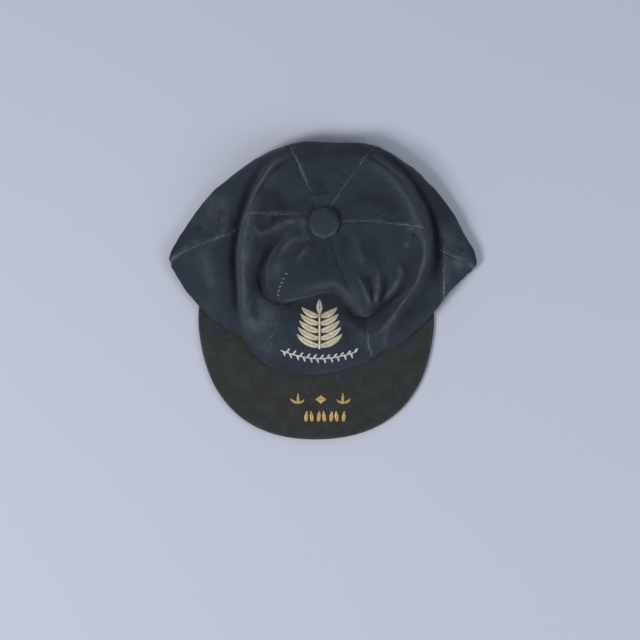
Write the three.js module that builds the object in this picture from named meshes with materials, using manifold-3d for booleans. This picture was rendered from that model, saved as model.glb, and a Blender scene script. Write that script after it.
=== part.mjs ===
// Honours cap: a soft cap of six sewn wool panels, laid down on its peak so that the crown slumps over the head
// opening and folds out into a wing at each side. It has a covered button, a stiff peak and raised embroidery.
// Millimetres, +Z up, the peak towards -Y, standing on z = 0, with the origin under the middle of its outline.
import * as THREE from "three";
import { mergeVertices } from "three/addons/utils/BufferGeometryUtils.js";
import Module from "manifold-3d";

const wasm = await Module();
wasm.setup();

// Driving dimensions
const clothWall = 1.8; // a panel of wool with its lining
const gap = 0.35; // between neighbouring pieces
const ring = { x: -4.4, y: 19.6, radius: 86.4 }; // the head opening, along the crown's lower edge
const seamGap = 0.8; // between two panels along a seam
const hemBand = 4.5; // height of the upright hem at that edge, where the crown overhangs it
const axis = { x: 0.4, y: 53.2 }; // the button, where the six seams meet
const panelStart = 4; // the panels' tips stop this far from the button's axis
const centreHeight = 34.5; // outside of the crown beside the button
const flyGap = 2.6; // the wings' underside hangs this far above the ground

const button = { radius: 12.2, seat: 36.5, rise: 4.2, shankRadius: 3, shankEnd: 31 };

const peak = {
  x: -5.8,
  y: -22.4,
  radius: 95.3, // round front edge
  thickness: 3.6,
  hornThickness: 2.2,
  arch: 5, // rise of its middle above its two sides
  undercut: 2.4, // it runs this far inside the head opening's edge, under the hem
  hornAngle: 3, // it ends this many degrees below the opening's widest line
  edgeRound: 1.3,
};

const colours = {
  wool: 0x20252f,
  peakCloth: 0x1b1e1f,
  cream: 0xd8d2b4,
  white: 0xc9cccb,
  gold: 0xc9a24a,
};

// The crown's outline from above: distance of the folded edge from the button's axis, by angle about it,
// anticlockwise from +X in degrees. The wings' tips are at 193 and 346.
const outlineRows = [
  [5, 104.1], [16, 94.6], [29, 86.4], [45, 79.1], [57.5, 75], [72, 68.7], [90, 66.3],
  [106, 68.2], [124, 71.9], [138, 76.5], [148, 81.6], [156, 86.9], [163, 92.5], [169, 97.8],
  [175, 104.2], [180, 110.4], [185, 117.4], [190, 124.6], [193, 127.2], [196, 127.2], [204, 124],
  [212, 120.6], [220, 118], [227, 115], [233.5, 112], [240, 116.8], [247.5, 121], [255, 122.4],
  [268, 120.2], [278, 117.6], [288, 114.4], [295, 111.8], [302, 113.2], [312, 113], [322, 113],
  [332, 115.2], [341, 122.6], [346, 126.8], [349, 124], [356, 113.8],
].map(([angle, radius]) => ({ angle, radius }));

// Sections through the crown, one row for each angle about the button. Going out from the button the cloth
// crosses a slumped lobe, a valley, the ridge over the head opening's wall, the groove outside it and the wing,
// and turns under at the outline. r is a distance from the button's axis and z a height.
const sectionColumns = ["angle", "lobeR", "lobeZ", "valleyR", "valleyZ", "ridgeR", "ridgeZ",
  "grooveR", "grooveZ", "wingR", "wingZ", "rimZ"];
const sectionRows = [
  [0, 30, 34, 57, 34, 74.8, 41, 85, 16.5, 92, 22, 8],
  [15, 28, 33, 53, 33, 69.8, 40.5, 79, 17, 86, 21, 9],
  [30, 26, 32, 47, 32, 66.5, 39.5, 75, 19.5, 80.5, 21, 10],
  [45, 24, 31, 44, 32, 63.3, 38.5, 70.3, 21.5, 75.6, 21.5, 12],
  [60, 22, 31, 42, 33, 60, 37, 67, 29, 71, 24, 13],
  [90, 20, 31, 36, 33, 50, 37, 57, 33, 62, 27, 14],
  [120, 20, 32, 38, 34, 55.4, 38, 63, 29, 67.5, 25, 13],
  [135, 22, 34, 40, 34, 57.8, 39, 64.5, 22, 71, 22, 12],
  [150, 24, 36, 41, 34, 56.8, 40.5, 63.4, 17, 71, 21.5, 10],
  [165, 26, 37, 44, 34, 57.8, 41.5, 63.6, 15, 71, 21.5, 8],
  [180, 28, 37, 46, 33, 61.2, 42, 66.6, 15, 73.6, 21, 7.5],
  [194, 27, 37, 45, 31, 66, 42, 71.4, 15.5, 79, 21.5, 8],
  [205, 33, 38, 48, 28, 71.4, 42, 77, 15.5, 85, 20.5, 7.5],
  [217, 47, 38.5, 61.5, 27, 80.2, 41.5, 86, 16, 94, 19.5, 9],
  [227, 60, 38, 70.2, 28, 92.4, 39.5, 97.8, 19, 104.5, 18, 11],
  [233.5, 64, 38, 72, 29, 100.6, 37.5, 105.4, 22, 109.2, 17.5, 12],
  [241, 66.5, 38, 73, 29.5, 98.5, 37, 109, 29, 113.5, 19, 13],
  [254, 58, 39, 63.5, 31, 82, 37.5, 100, 30, 116, 20, 13],
  [270, 51, 40, 57.5, 32, 76, 38, 98, 30.5, 115.5, 19, 13],
  [284, 55.5, 39, 64.5, 31, 82, 37.5, 99, 30, 112, 19, 13],
  [293, 76, 37, 82, 28.5, 97, 35.5, 104, 28, 109.5, 19, 12.5],
  [303, 72, 37, 81, 28, 94, 39, 102, 26, 108.5, 18.5, 11],
  [315, 66, 37, 80, 29.5, 88.6, 41, 97.5, 22.5, 107, 19, 9],
  [330, 62, 36, 79, 34, 86, 41.5, 96, 17.5, 108, 19.5, 8],
  [345, 48, 35, 70, 35, 82.4, 42, 92, 15.5, 98, 22.5, 7],
].map((row) => Object.fromEntries(row.map((value, k) => [sectionColumns[k], value])));

// Seams, anticlockwise: the angle about the button at which each starts and crosses the lobe, valley, ridge,
// groove, wing, outline, underside and hem.
const seamRows = [
  { name: "right", angles: [3, 3, -0.5, -2.5, -8, -13.2, -16.5, -18.5, -20] },
  { name: "back_right", angles: [66, 64, 60, 58, 57, 56.5, 56, 55, 54] },
  { name: "back_left", angles: [113, 113, 113, 113.5, 114, 114, 114.5, 115, 116] },
  { name: "left", angles: [152, 165, 170, 173, 180.5, 185.5, 194.2, 194.8, 196] },
  { name: "front_left", angles: [226, 236.5, 242.5, 244.6, 246, 246.8, 247.2, 247.5, 247.5] },
  { name: "front_right", angles: [289, 291.5, 292.4, 291.5, 290, 289.8, 289.6, 289.6, 289.5] },
];
const panelNames = ["back_right", "back", "back_left", "front_left", "front", "front_right"];

// Creases pressed into the top cloth: a straight line from one point to another, the height of the fold (negative
// for a valley) and its half width.
const creaseRows = [
  { x0: 26.8, y0: 12.4, x1: 37.2, y1: -11.6, height: 3, width: 3 },
  { x0: 42.8, y0: 18, x1: 41.2, y1: -10.8, height: 3.4, width: 3 },
  { x0: 59.6, y0: 22.8, x1: 58, y1: 2, height: 3, width: 5 },
  { x0: 50, y0: 14.8, x1: 45.2, y1: -9.2, height: -2.6, width: 3 },
  { x0: 14.8, y0: 48.4, x1: 18, y1: 22.8, height: -2.5, width: 4 },
  { x0: 22.8, y0: 48.4, x1: 30.8, y1: 20.4, height: 2, width: 4 },
  { x0: -49.2, y0: 45.2, x1: -18.8, y1: 55.6, height: 2.2, width: 4 },
  { x0: -26.8, y0: 46.8, x1: -52.4, y1: 18, height: -3, width: 4 },
  { x0: 59.6, y0: -15.6, x1: 48.4, y1: -43.6, height: 3, width: 4 },
  { x0: -84.4, y0: 76.4, x1: -83.6, y1: 46.8, height: -2.5, width: 5 },
  { x0: -94.8, y0: 36.4, x1: -88.4, y1: 0.4, height: 2.2, width: 8 },
  { x0: 95.6, y0: 22.8, x1: 96.4, y1: -6, height: 3, width: 4 },
  { x0: -2.8, y0: 90, x1: -1.2, y1: 75.6, height: -2.5, width: 9 },
  { x0: 22.8, y0: 76.4, x1: 59.6, y1: 62.8, height: -2.4, width: 7 },
  { x0: -42.8, y0: 80.4, x1: -18.8, y1: 64.4, height: -2, width: 6 },
];

const rad = THREE.MathUtils.degToRad;
const { lerp, smoothstep } = THREE.MathUtils;

// The value of one column of a table at an angle: a smooth curve through the rows that closes after 360 degrees.
function atAngle(rows, column, angle) {
  const n = rows.length;
  const first = rows[0].angle;
  const a = ((((angle - first) % 360) + 360) % 360) + first;
  let k = n - 1;
  while (rows[k].angle > a) k -= 1;
  const row = (i) => {
    const turn = Math.floor((k + i) / n);
    const source = rows[(k + i + n) % n];
    return { angle: source.angle + 360 * turn, value: source[column] };
  };
  const [before, from, to, after] = [row(-1), row(0), row(1), row(2)];
  const slope = (p, q) => (q.value - p.value) / (q.angle - p.angle);
  const tangent = (p, q, s) => {
    const [h0, h1] = [q.angle - p.angle, s.angle - q.angle];
    return (slope(p, q) * h1 + slope(q, s) * h0) / (h0 + h1);
  };
  const h = to.angle - from.angle;
  const t = (a - from.angle) / h;
  const [m0, m1] = [tangent(before, from, to) * h, tangent(from, to, after) * h];
  return (
    (2 * t ** 3 - 3 * t ** 2 + 1) * from.value +
    (t ** 3 - 2 * t ** 2 + t) * m0 +
    (3 * t ** 2 - 2 * t ** 3) * to.value +
    (t ** 3 - t ** 2) * m1
  );
}

// How far the ray at an angle (radians) from a point goes before it meets a circle round it.
function rayToCircle(from, angle, circle) {
  const [dx, dy] = [from.x - circle.x, from.y - circle.y];
  const along = dx * Math.cos(angle) + dy * Math.sin(angle);
  return -along + Math.sqrt(along ** 2 - dx ** 2 - dy ** 2 + circle.radius ** 2);
}

// The peak is a crescent between the opening's edge and its own front edge, arched across its width. The front edge
// is a circle pushed out a little in the middle and more at two soft corners, 26 degrees either side of it.
const peakFront = { middle: 2.2, corners: 2.9, cornerSpan: 52, fadeFrom: 40, fadeTo: 60 };
function peakOuter(angle) {
  const away = Math.abs(THREE.MathUtils.radToDeg(angle) - 270);
  const corner = Math.sin((Math.PI * Math.min(away, peakFront.cornerSpan)) / peakFront.cornerSpan) ** 2;
  const pushed = peakFront.middle + peakFront.corners * corner;
  return rayToCircle(ring, angle, peak) + pushed * (1 - smoothstep(away, peakFront.fadeFrom, peakFront.fadeTo));
}
const peakThickness = (angle) =>
  lerp(peak.hornThickness, peak.thickness, smoothstep(Math.abs(Math.sin(angle)), Math.sin(rad(peak.hornAngle)), 0.5));
const peakUnder = (x) => peak.arch * (1 - ((x - peak.x) / peak.radius) ** 2);
const peakTop = (x, y) => peakUnder(x) + peakThickness(Math.atan2(y - ring.y, x - ring.x));

// Height of the hem: on the ground behind, and on top of the peak in front, with a short rise beside each horn.
function hemHeight(x, y) {
  const below = -Math.sin(Math.atan2(y - ring.y, x - ring.x));
  const onPeak = smoothstep(below, Math.sin(rad(peak.hornAngle - 18)), Math.sin(rad(peak.hornAngle - 6)));
  return onPeak * (peakTop(x, y) + gap);
}

// The creases' height at a point, each falling away from its line as a bell curve.
function creaseHeight(x, y) {
  return creaseRows.reduce((sum, c) => {
    const [ex, ey] = [c.x1 - c.x0, c.y1 - c.y0];
    const t = THREE.MathUtils.clamp(((x - c.x0) * ex + (y - c.y0) * ey) / (ex ** 2 + ey ** 2), 0, 1);
    const distance = Math.hypot(x - c.x0 - t * ex, y - c.y0 - t * ey);
    return sum + c.height * Math.exp(-((distance / c.width) ** 2));
  }, 0);
}

// Outside of the crown along one section: knots 0 to 9 are the start beside the button, lobe, valley, ridge,
// groove, wing, outline, underside, top of the hem and hem.
const knot = { start: 0, ridge: 3, groove: 4, rim: 6, hem: 9 };
const sectionCache = new Map();
function section(angle) {
  const key = angle.toFixed(4);
  if (!sectionCache.has(key)) {
    const at = (column) => atAngle(sectionRows, column, angle);
    const rimR = atAngle(outlineRows, "radius", angle);
    const hemR = Math.min(rayToCircle(axis, rad(angle), ring), rimR);
    const hemZ = hemHeight(axis.x + hemR * Math.cos(rad(angle)), axis.y + hemR * Math.sin(rad(angle)));
    const overhang = smoothstep(rimR - hemR, 0, 18);
    const hemTop = hemZ + lerp((at("rimZ") - hemZ) * 0.45, hemBand, overhang);
    const underR = lerp(hemR, rimR, 0.6);
    const underHem = hemHeight(axis.x + underR * Math.cos(rad(angle)), axis.y + underR * Math.sin(rad(angle)));
    const underZ = Math.max(flyGap, underHem + 2);
    const points = [
      [panelStart, centreHeight],
      [at("lobeR"), at("lobeZ")],
      [at("valleyR"), at("valleyZ")],
      [at("ridgeR"), at("ridgeZ")],
      [at("grooveR"), at("grooveZ")],
      [at("wingR"), at("wingZ")],
      [rimR, at("rimZ")],
      [underR, lerp((at("rimZ") + hemTop) / 2, underZ, overhang)],
      [hemR, hemTop],
    ].map(([r, z]) => new THREE.Vector3(r, 0, z));
    sectionCache.set(key, {
      curve: new THREE.CatmullRomCurve3(points, false, "centripetal"),
      last: points.length - 1,
      hem: new THREE.Vector3(hemR, 0, hemZ),
    });
  }
  return sectionCache.get(key);
}

// The point of the crown's outside at an angle (degrees) and a knot number.
function crownPoint(angle, t) {
  const { curve, last, hem } = section(angle);
  const p = curve.getPoint(Math.min(t / last, 1));
  if (t > last) p.lerp(hem, t - last);
  const x = axis.x + p.x * Math.cos(rad(angle));
  const y = axis.y + p.x * Math.sin(rad(angle));
  const pressed = 1 - smoothstep(t, knot.rim - 0.6, knot.rim + 0.2);
  return new THREE.Vector3(x, y, p.z + pressed * creaseHeight(x, y));
}

// The crown's outward normal there, from two short steps over the surface.
function crownNormal(angle, t) {
  const [da, dt] = [0.5, 0.05];
  const across = crownPoint(angle + da, t).sub(crownPoint(angle - da, t));
  const along = crownPoint(angle, Math.min(t + dt, knot.hem)).sub(crownPoint(angle, Math.max(t - dt, 0)));
  return along.cross(across).normalize();
}

// Height of the crown's outside above a point of its top.
function crownTop(x, y) {
  const angle = THREE.MathUtils.radToDeg(Math.atan2(y - axis.y, x - axis.x));
  const radius = Math.hypot(x - axis.x, y - axis.y);
  let [low, high] = [knot.start, knot.rim];
  for (let i = 0; i < 24; i += 1) {
    const middle = (low + high) / 2;
    const p = crownPoint(angle, middle);
    if (Math.hypot(p.x - axis.x, p.y - axis.y) < radius) low = middle;
    else high = middle;
  }
  return crownPoint(angle, low).z;
}

// A geometry from a list of corners and a list of triangles.
function geometryOf(corners, triangles) {
  const geometry = new THREE.BufferGeometry();
  geometry.setAttribute("position", new THREE.Float32BufferAttribute(corners.flatMap((p) => [p.x, p.y, p.z]), 3));
  geometry.setIndex(triangles.flat());
  geometry.computeVertexNormals();
  return geometry;
}

// A closed wall between two grids of points with the same rows and columns. The outer grid faces out.
function wallBetween(outer, inner) {
  const [rows, columns] = [outer.length, outer[0].length];
  const corners = [...outer.flat(), ...inner.flat()];
  const top = (i, j) => i * columns + j;
  const under = (i, j) => rows * columns + i * columns + j;
  const triangles = [];
  const quad = (a, b, c, d) => triangles.push([a, b, c], [a, c, d]);
  for (let i = 0; i + 1 < rows; i += 1)
    for (let j = 0; j + 1 < columns; j += 1) {
      quad(top(i, j), top(i + 1, j), top(i + 1, j + 1), top(i, j + 1));
      quad(under(i, j), under(i, j + 1), under(i + 1, j + 1), under(i + 1, j));
    }
  for (let i = 0; i + 1 < rows; i += 1) {
    quad(top(i, 0), under(i, 0), under(i + 1, 0), top(i + 1, 0));
    const j = columns - 1;
    quad(top(i, j), top(i + 1, j), under(i + 1, j), under(i, j));
  }
  for (let j = 0; j + 1 < columns; j += 1) {
    quad(top(0, j), top(0, j + 1), under(0, j + 1), under(0, j));
    const i = rows - 1;
    quad(top(i, j), under(i, j), under(i, j + 1), top(i, j + 1));
  }
  return geometryOf(corners, triangles);
}

// A closed solid through a row of closed loops, each with the same number of points, with flat ends.
function solidThrough(loops) {
  const n = loops[0].length;
  const corners = loops.flat();
  const triangles = [];
  for (let i = 0; i + 1 < loops.length; i += 1)
    for (let j = 0; j < n; j += 1) {
      const [a, b] = [i * n + j, i * n + ((j + 1) % n)];
      triangles.push([a, a + n, b + n], [a, b + n, b]);
    }
  const end = (loops.length - 1) * n;
  for (let j = 1; j + 1 < n; j += 1) {
    triangles.push([0, j, j + 1]);
    triangles.push([end, end + j + 1, end + j]);
  }
  return geometryOf(corners, triangles);
}

// Several overlapping closed geometries joined into one.
function fused(geometries) {
  const solid = geometries
    .map((geometry) => {
      const bare = geometry.clone();
      bare.deleteAttribute("normal");
      const merged = mergeVertices(bare, 1e-4);
      return new wasm.Manifold(
        new wasm.Mesh({
          numProp: 3,
          vertProperties: new Float32Array(merged.attributes.position.array),
          triVerts: new Uint32Array(merged.index.array),
        }),
      );
    })
    .reduce((sum, part) => sum.add(part));
  const mesh = solid.getMesh();
  const geometry = new THREE.BufferGeometry();
  geometry.setAttribute("position", new THREE.BufferAttribute(new Float32Array(mesh.vertProperties), 3));
  geometry.setIndex(new THREE.BufferAttribute(new Uint32Array(mesh.triVerts), 1));
  geometry.computeVertexNormals();
  return geometry;
}

// One wool panel between two seams, from beside the button to the hem.
const rowsBetweenKnots = [2, 3, 3, 4, 3, 4, 2, 2, 1];
const panelColumns = 12;
function seamAngle(seam, t) {
  const angles = [...seam.angles, seam.angles.at(-1)];
  const k = Math.min(Math.floor(t), angles.length - 2);
  return lerp(angles[k], angles[k + 1], t - k);
}
// How far a panel's edge keeps from the seam's middle line, as an angle, for half a gap square to the seam.
function seamShift(seam, t) {
  const [da, dt] = [0.5, 0.05];
  const angle = seamAngle(seam, t);
  const [t0, t1] = [Math.max(t - dt, 0), Math.min(t + dt, knot.hem)];
  const across = crownPoint(angle + da, t).sub(crownPoint(angle - da, t)).divideScalar(2 * da);
  const along = crownPoint(seamAngle(seam, t1), t1).sub(crownPoint(seamAngle(seam, t0), t0)).normalize();
  return (seamGap / 2) / across.clone().cross(along).length();
}

function panel(index) {
  const from = seamRows[index];
  const to = seamRows[(index + 1) % seamRows.length];
  const turn = index + 1 === seamRows.length ? 360 : 0;
  const knots = rowsBetweenKnots.flatMap((count, k) => Array.from({ length: count }, (_, i) => k + i / count));
  knots.push(knot.hem);
  const grid = (depth) =>
    knots.map((t) => {
      const [a0, a1] = [seamAngle(from, t), seamAngle(to, t) + turn];
      const [from0, to1] = [a0 + seamShift(from, t), a1 - seamShift(to, t)];
      return Array.from({ length: panelColumns + 1 }, (_, j) => {
        const angle = lerp(from0, to1, j / panelColumns);
        const p = crownPoint(angle, t);
        if (depth === 0) return p;
        if (t < knot.hem - 1) return p.addScaledVector(crownNormal(angle, t), -depth);
        const towards = new THREE.Vector3(ring.x - p.x, ring.y - p.y, 0).setLength(depth);
        return p.add(towards);
      });
    });
  return wallBetween(grid(0), grid(clothWall));
}

// The covered button: a low dome on a short shank that passes between the panels' tips.
function buttonGeometry() {
  const { radius, seat, rise, shankRadius, shankEnd } = button;
  const domeSteps = 8;
  const edge = 1.6; // upright edge below the dome
  const profile = [
    [0, shankEnd],
    [shankRadius, shankEnd],
    [shankRadius, seat + 0.4],
    [radius - 1.2, seat],
    [radius, seat + edge],
  ];
  for (let i = 1; i <= domeSteps; i += 1) {
    const a = (i / domeSteps) * (Math.PI / 2);
    profile.push([radius * Math.cos(a), seat + edge + (rise - edge) * Math.sin(a)]);
  }
  profile[profile.length - 1][0] = 0;
  const turned = new THREE.LatheGeometry(profile.map(([x, y]) => new THREE.Vector2(x, y)), 24);
  return turned.rotateX(Math.PI / 2).translate(axis.x, axis.y, 0);
}

// The peak: board covered on both sides, swept round the head opening from horn to horn.
function peakGeometry() {
  const steps = 44;
  const [first, last] = [180 + peak.hornAngle, 360 - peak.hornAngle];
  const loops = Array.from({ length: steps + 1 }, (_, i) => {
    const angle = rad(lerp(first, last, i / steps));
    const inner = ring.radius - peak.undercut;
    const outer = peakOuter(angle);
    const at = (radius, level) => {
      const [x, y] = [ring.x + radius * Math.cos(angle), ring.y + radius * Math.sin(angle)];
      return new THREE.Vector3(x, y, peakUnder(x) + level * peakThickness(angle));
    };
    const middle = lerp(inner, outer, 0.5);
    return [
      at(inner, 0),
      at(middle, 0),
      at(outer - peak.edgeRound, 0),
      at(outer, 0.5),
      at(outer - peak.edgeRound, 1),
      at(middle, 1),
      at(inner, 1),
    ];
  });
  return solidThrough(loops);
}

// Embroidery is a padded strip laid on a surface. Its centre line runs through stations, each with a half width.
const lift = 0.8; // of its underside above the surface
function paddedStrip(stations, surface, pad) {
  const margin = 0.4; // height of the strip's edge
  const loops = stations.map(({ x, y, half }, i) => {
    const before = stations[Math.max(i - 1, 0)];
    const after = stations[Math.min(i + 1, stations.length - 1)];
    const [dx, dy] = [after.x - before.x, after.y - before.y];
    const length = Math.hypot(dx, dy);
    const at = (side, level) => {
      const [px, py] = [x - (side * half * dy) / length, y + (side * half * dx) / length];
      return new THREE.Vector3(px, py, surface(px, py) + lift + level);
    };
    return [at(-1, 0), at(-1, margin), at(-0.5, pad * 0.85), at(0, pad), at(0.5, pad * 0.85), at(1, margin), at(1, 0), at(0, 0)];
  });
  return solidThrough(loops);
}

// A leaf from a point, at an angle in degrees, bent towards its tip.
function leaf(x, y, angle, length, width, bend = 0) {
  const steps = 5;
  const stations = [];
  let [px, py] = [x, y];
  for (let i = 0; i <= steps; i += 1) {
    const s = i / steps;
    const half = 0.35 + (width / 2 - 0.35) * Math.sin(Math.PI * (0.12 + 0.88 * s ** 0.9)) ** 0.8;
    stations.push({ x: px, y: py, half: Math.max(half, 0.35) });
    const heading = rad(angle + bend * s);
    px += (length / steps) * Math.cos(heading);
    py += (length / steps) * Math.sin(heading);
  }
  return stations;
}

// Raised emblem on the front panel: an upright spray, a stem with pairs of leaves and one at the top.
const emblem = { x: -3.2, bottom: -46.6, top: -15, stemHalf: 1.5, pad: 1.4 };
function emblemSpray() {
  const pairs = 4;
  const stem = Array.from({ length: 9 }, (_, i) => ({
    x: emblem.x,
    y: lerp(emblem.bottom, emblem.top, i / 8),
    half: emblem.stemHalf,
  }));
  const leaves = [leaf(emblem.x, emblem.top - 2, 90, 11, 6)];
  for (let i = 0; i < pairs; i += 1) {
    const y = lerp(emblem.bottom + 3, emblem.top - 5, i / (pairs - 1));
    const length = lerp(20, 14, i / (pairs - 1));
    leaves.push(leaf(emblem.x + 0.5, y, 12, length, 7, 42), leaf(emblem.x - 0.5, y, 168, length, 7, -42));
  }
  return fused([stem, ...leaves].map((stations) => paddedStrip(stations, crownTop, emblem.pad)));
}

// Raised border under the emblem: a scalloped band along an arc that sags in the middle.
const border = { left: -34, right: 27, ends: -47.8, sag: 6.2, lean: 0.8, half: 3.1, scallops: 11, pad: 1 };
function emblemBorder() {
  const steps = 44;
  const stations = Array.from({ length: steps + 1 }, (_, i) => {
    const s = i / steps;
    const wave = Math.abs(Math.sin(Math.PI * border.scallops * s));
    return {
      x: lerp(border.left, border.right, s),
      y: border.ends - border.lean * s - border.sag * Math.sin(Math.PI * s) ** 0.9,
      half: 0.9 + (border.half - 0.9) * wave,
    };
  });
  return paddedStrip(stations, crownTop, border.pad);
}

// Gold ornaments on the peak: a lozenge between two small leaf sprays, and a scalloped bar in front of them.
const peakPad = 1;
const lozenge = { x: -2, y: -87.4, length: 9, half: 4 };
function peakLozenge() {
  const stations = [0, 0.25, 0.5, 0.75, 1].map((s) => ({
    x: lozenge.x + lozenge.length * (s - 0.5),
    y: lozenge.y,
    half: 0.4 + (lozenge.half - 0.4) * (1 - Math.abs(2 * s - 1)),
  }));
  return paddedStrip(stations, peakTop, peakPad);
}
function peakSpray(x, y, side) {
  const stations = [
    leaf(x, y - 1, side > 0 ? 0 : 180, 8, 3.4, side * 50),
    leaf(x, y - 2, 90, 8.4, 3.6),
    leaf(x, y - 1, side > 0 ? 180 : 0, 6, 3, -side * 50),
  ];
  return fused(stations.map((row) => paddedStrip(row, peakTop, peakPad)));
}
const bar = { left: -16.4, right: 18.2, y: -101, half: 4.2, scallops: 7 };
function peakBar() {
  const steps = 28;
  const stations = Array.from({ length: steps + 1 }, (_, i) => {
    const s = i / steps;
    const wave = Math.abs(Math.sin(Math.PI * bar.scallops * s));
    return { x: lerp(bar.left, bar.right, s), y: bar.y, half: 0.8 + (bar.half - 0.8) * wave };
  });
  return paddedStrip(stations, peakTop, peakPad);
}

function mesh(name, geometry, colour, roughness, metalness = 0) {
  const material = new THREE.MeshStandardMaterial({ color: colour, roughness, metalness });
  const made = new THREE.Mesh(geometry, material);
  made.name = name;
  return made;
}

const cap = new THREE.Group();
panelNames.forEach((name, index) => {
  cap.add(mesh(`crown_panel_${name}`, panel(index), colours.wool, 0.95));
});
cap.add(mesh("button", buttonGeometry(), colours.wool, 0.95));
cap.add(mesh("peak", peakGeometry(), colours.peakCloth, 0.9));
cap.add(mesh("emblem_spray", emblemSpray(), colours.cream, 0.6));
cap.add(mesh("emblem_border", emblemBorder(), colours.white, 0.6));
cap.add(mesh("peak_spray_left", peakSpray(-20.4, -87, -1), colours.gold, 0.45, 0.6));
cap.add(mesh("peak_lozenge", peakLozenge(), colours.gold, 0.45, 0.6));
cap.add(mesh("peak_spray_right", peakSpray(15.6, -87, 1), colours.gold, 0.45, 0.6));
cap.add(mesh("peak_bar", peakBar(), colours.gold, 0.45, 0.6));

export default cap;
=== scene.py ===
import itertools
import math

import bpy
import numpy as np
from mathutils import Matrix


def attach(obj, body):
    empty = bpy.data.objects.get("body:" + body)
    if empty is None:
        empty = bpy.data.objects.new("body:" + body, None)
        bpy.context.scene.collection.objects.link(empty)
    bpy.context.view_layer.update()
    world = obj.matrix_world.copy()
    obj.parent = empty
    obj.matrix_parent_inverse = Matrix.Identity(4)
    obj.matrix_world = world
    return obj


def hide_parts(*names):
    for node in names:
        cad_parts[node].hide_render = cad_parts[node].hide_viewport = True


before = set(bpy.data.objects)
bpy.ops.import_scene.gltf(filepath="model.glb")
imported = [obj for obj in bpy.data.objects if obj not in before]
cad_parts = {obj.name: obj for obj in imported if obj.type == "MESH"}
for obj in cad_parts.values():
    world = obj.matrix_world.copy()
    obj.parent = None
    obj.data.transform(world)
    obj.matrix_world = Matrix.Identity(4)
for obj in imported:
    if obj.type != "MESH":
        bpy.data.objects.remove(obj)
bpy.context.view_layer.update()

# The ground: a plain pale blue-grey board that fills the view from any side. Soft light comes from one large
# lamp on the left and a little in front of the cap, weak ones on its right and above it, and the pale room.
floor_colour = (0.345, 0.365, 0.435, 1)
floor_half = 6


def add_node(tree, kind, settings=(), inputs=()):
    """A node with its settings and the values or links of its inputs."""
    node = tree.nodes.new(kind)
    for name, value in dict(settings).items():
        setattr(node, name, value)
    for name, value in dict(inputs).items():
        if isinstance(value, bpy.types.NodeSocket):
            tree.links.new(value, node.inputs[name])
        else:
            node.inputs[name].default_value = value
    return node


def new_material(name, values):
    """A new material whose Principled shader has these values, with its node tree and that shader."""
    made = bpy.data.materials.new(name)
    made.use_nodes = True
    shader = made.node_tree.nodes["Principled BSDF"]
    for socket, value in values.items():
        shader.inputs[socket].default_value = value
    return made, made.node_tree, shader


board = new_material("board", {"Base Color": floor_colour, "Roughness": 0.9})[0]
floor_mesh = bpy.data.meshes.new("floor")
floor_corners = floor_half * np.array([[-1, -1, 0], [1, -1, 0], [1, 1, 0], [-1, 1, 0]], float)
floor_mesh.from_pydata(floor_corners - [0, 0, 0.0003], [], [(0, 1, 2, 3)])
floor_mesh.materials.append(board)


def new_object(name, data):
    """An object in the scene that holds this mesh, camera or lamp."""
    made = bpy.data.objects.new(name, data)
    bpy.context.scene.collection.objects.link(made)
    return made


floor = new_object("floor", floor_mesh)

# The camera looks straight down from 1.9 m, with the peak towards the bottom of the picture. The picture is
# 512 mm wide at the height of the wings.
camera_height = 1.9
view_width = 0.512
wing_height = 0.02
view_centre = (-0.0028, -0.0236)

camera_data = bpy.data.cameras.new("camera")
camera_data.sensor_width = 36
camera_data.lens = camera_data.sensor_width * (camera_height - wing_height) / view_width
camera = new_object("camera", camera_data)
camera.location = (*view_centre, camera_height)
bpy.context.scene.camera = camera


def soft_lamp(name, place, size, power, colour):
    """A square area lamp that faces the middle of the cap."""
    data = bpy.data.lights.new(name, "AREA")
    data.size = size
    data.energy = power
    data.color = colour
    lamp = new_object(name, data)
    lamp.location = place
    back = np.array(place) / np.linalg.norm(place)
    lamp.rotation_euler = (math.acos(back[2]), 0, math.atan2(back[1], back[0]) + math.pi / 2)


soft_lamp("main lamp", (-1.05, -0.6, 1.5), 0.6, 34, (1, 0.98, 0.96))
soft_lamp("right lamp", (1.1, -0.5, 1.1), 0.8, 10.5, (0.95, 0.97, 1))
soft_lamp("top lamp", (0.2, 0.5, 1.8), 0.9, 4.5, (0.93, 0.96, 1))
room = bpy.data.worlds.new("room")
room.use_nodes = True
room.node_tree.nodes["Background"].inputs["Color"].default_value = (0.86, 0.91, 1, 1)
room.node_tree.nodes["Background"].inputs["Strength"].default_value = 0.39
bpy.context.scene.world = room
bpy.context.scene.view_settings.view_transform = "Standard"

# The crown: six panels of navy wool, sewn together from the button down to the hem. It lies over its own hem
# like a collapsed tent, so it slumps into a hollow inside the ridge over the hem, drops outside that and
# folds out into two wings. Sizes are in millimetres and angles in degrees about the button, anticlockwise
# from +X.
MM = 0.001
axis = np.array([0.4, 53.2])
ring = (-4.4, 19.6, 86.4)  # the head opening: centre and radius
panel_start = 4
centre_height = 34.5
hem_band = 4.5
fly_gap = 2.6
clearance = 0.35
cloth_thickness = 1.4

peak_round = (-5.8, -22.4, 95.3)  # the circle under the peak's front edge: centre and radius
peak_thickness = 3.6
horn_thickness = 2.2
peak_arch = 5
peak_undercut = 2.4
horn_angle = 3

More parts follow.
